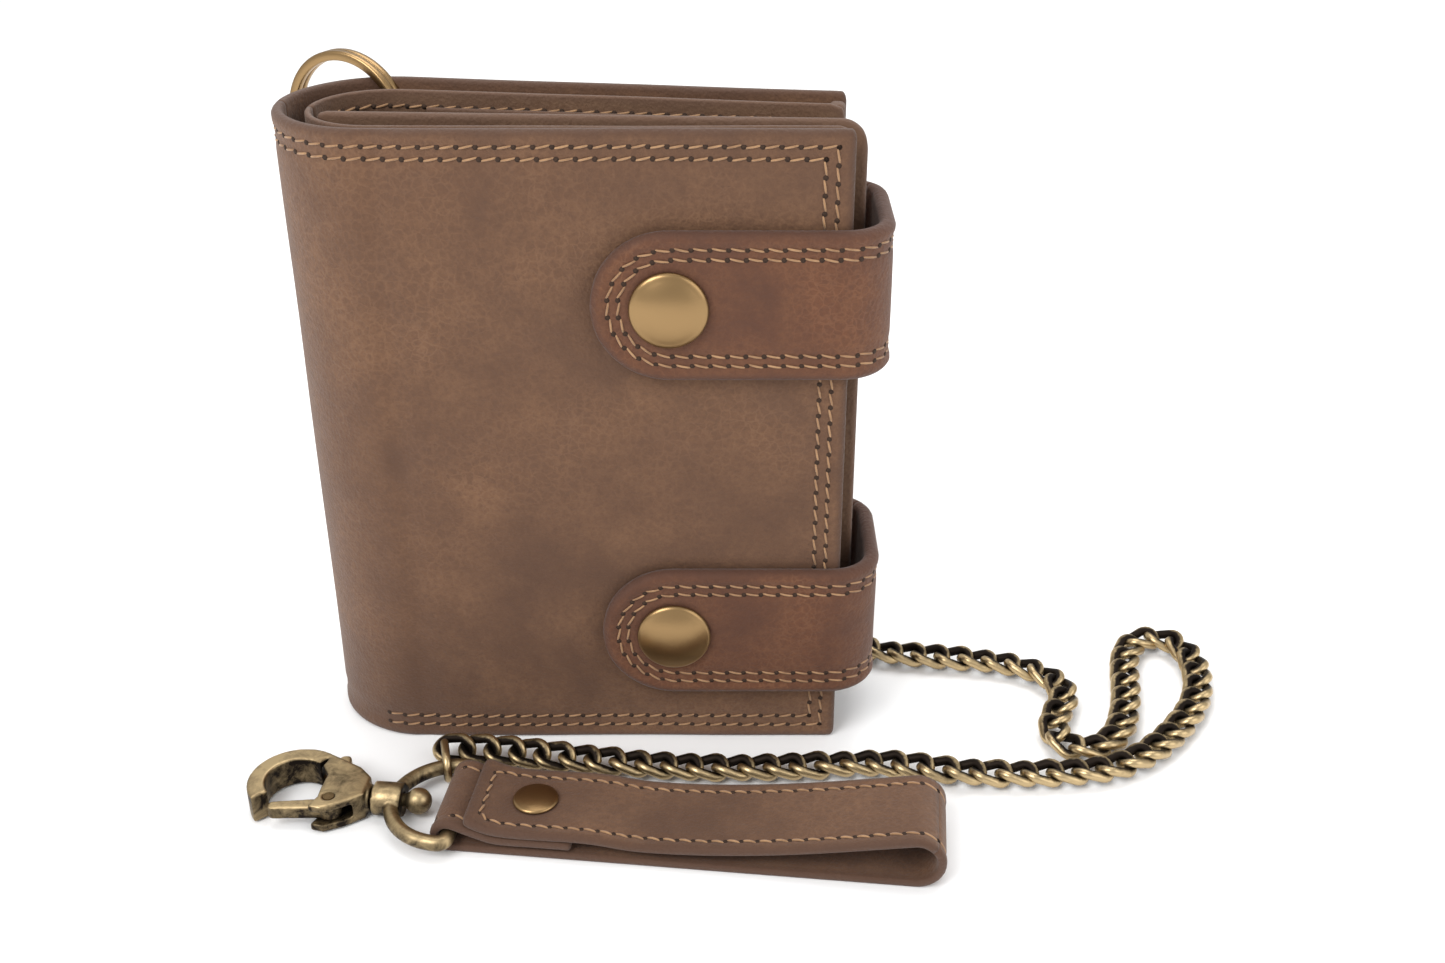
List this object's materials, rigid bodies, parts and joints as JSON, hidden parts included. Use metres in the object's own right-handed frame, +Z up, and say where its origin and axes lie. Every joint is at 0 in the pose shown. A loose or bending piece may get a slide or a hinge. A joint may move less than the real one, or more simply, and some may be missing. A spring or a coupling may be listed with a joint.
{
  "type": "chain wallet",
  "caption": "Tall folding leather wallet with two snap straps, card pockets, a split ring, a link chain, a swivel clasp and a snap belt loop.",
  "frame": {"origin": "bottom centre of the wallet's own box, on the surface that it stands on, without the chain and what is on it", "axes": "+Z up along the spine, -Y out of the front cover, +X towards the fore-edge that the straps close round"},
  "size_m": [0.1982, 0.0977, 0.1324],
  "materials": {
    "cover_leather": "oiled, matt, mottled",
    "strap_leather": "oiled, matt",
    "inner_leather": "smooth, matt",
    "thread": "waxed thread",
    "antique_brass": "antiqued, darkened in the hollows",
    "spring_steel": "bright"
  },
  "bodies": {
    "back_half": {"back_cover": "cover_leather", "back_lining": "inner_leather", "back_card_pocket_1": "inner_leather", "back_card_pocket_2": "inner_leather", "back_card_pocket_3": "inner_leather", "upper_strap_anchor": "strap_leather", "lower_strap_anchor": "strap_leather", "split_ring": "antique_brass", "ring_end_link": "antique_brass", "chain_links": "antique_brass", "swivel_end_link": "antique_brass", "swivel_ring": "antique_brass", "belt_loop_base": "cover_leather", "loop_snap_stud": "antique_brass", "loop_snap_post": "antique_brass"},
    "spine": {"spine_cover": "cover_leather", "spine_lining": "inner_leather"},
    "front_half": {"front_cover": "cover_leather", "front_lining": "inner_leather", "front_card_pocket_1": "inner_leather", "front_card_pocket_2": "inner_leather", "upper_snap_stud": "antique_brass", "upper_snap_post": "antique_brass", "lower_snap_stud": "antique_brass", "lower_snap_post": "antique_brass"},
    "page": {"centre_page": "inner_leather"},
    "upper_strap": {"upper_strap": "strap_leather", "upper_snap_cap": "antique_brass", "upper_snap_socket": "antique_brass"},
    "lower_strap": {"lower_strap": "strap_leather", "lower_snap_cap": "antique_brass", "lower_snap_socket": "antique_brass"},
    "belt_flap": {"belt_loop_flap": "cover_leather", "loop_snap_cap": "antique_brass", "loop_snap_socket": "antique_brass"},
    "clasp": {"clasp_body": "antique_brass", "gate_pin": "antique_brass", "gate_spring": "spring_steel"},
    "gate": {"clasp_gate": "antique_brass"}
  },
  "joints": [
    {"name": "spine_fold", "type": "hinge", "parent": "back_half", "child": "spine", "pos_m": [-0.05063, 0.01664, 0.064], "axis": [0, 0, 1], "range_deg": [-86, 0], "deforming": ["spine_cover", "spine_lining"]},
    {"name": "cover_open", "type": "hinge", "parent": "spine", "child": "front_half", "pos_m": [-0.05063, -0.01023, 0.064], "axis": [0, 0, 1], "range_deg": [-86, 0], "deforming": ["front_cover", "front_lining"]},
    {"name": "page_turn", "type": "hinge", "parent": "spine", "child": "page", "pos_m": [-0.0478, 0.002, 0.064], "axis": [0, 0, 1], "range_deg": [-69, 0]},
    {"name": "upper_strap_swing", "type": "hinge", "parent": "back_half", "child": "upper_strap", "pos_m": [0.04904, 0.01418, 0.0964], "axis": [0, 0, 1], "range_deg": [0, 100]},
    {"name": "lower_strap_swing", "type": "hinge", "parent": "back_half", "child": "lower_strap", "pos_m": [0.04904, 0.01418, 0.0273], "axis": [0, 0, 1], "range_deg": [0, 100]},
    {"name": "belt_flap_open", "type": "hinge", "parent": "back_half", "child": "belt_flap", "pos_m": [0.06685, -0.05217, 0.0054], "axis": [0.1116, 0.9937, 0], "range_deg": [0, 110]},
    {"name": "clasp_swivel", "type": "hinge", "parent": "back_half", "child": "clasp", "pos_m": [-0.04286, -0.03984, 0.0034], "axis": [0.9937, -0.1116, 0], "continuous": true},
    {"name": "clasp_gate_open", "type": "hinge", "parent": "clasp", "child": "gate", "pos_m": [-0.05026, -0.04304, 0.0034], "axis": [0, 0, -1], "range_deg": [0, 22], "stiffness_Nm_per_rad": 0.004, "deforming": ["gate_spring"]}
  ],
  "couplings": [
    {"joint": "spine_fold", "follows": "cover_open", "ratio": 1},
    {"joint": "page_turn", "follows": "cover_open", "ratio": 0.8}
  ]
}
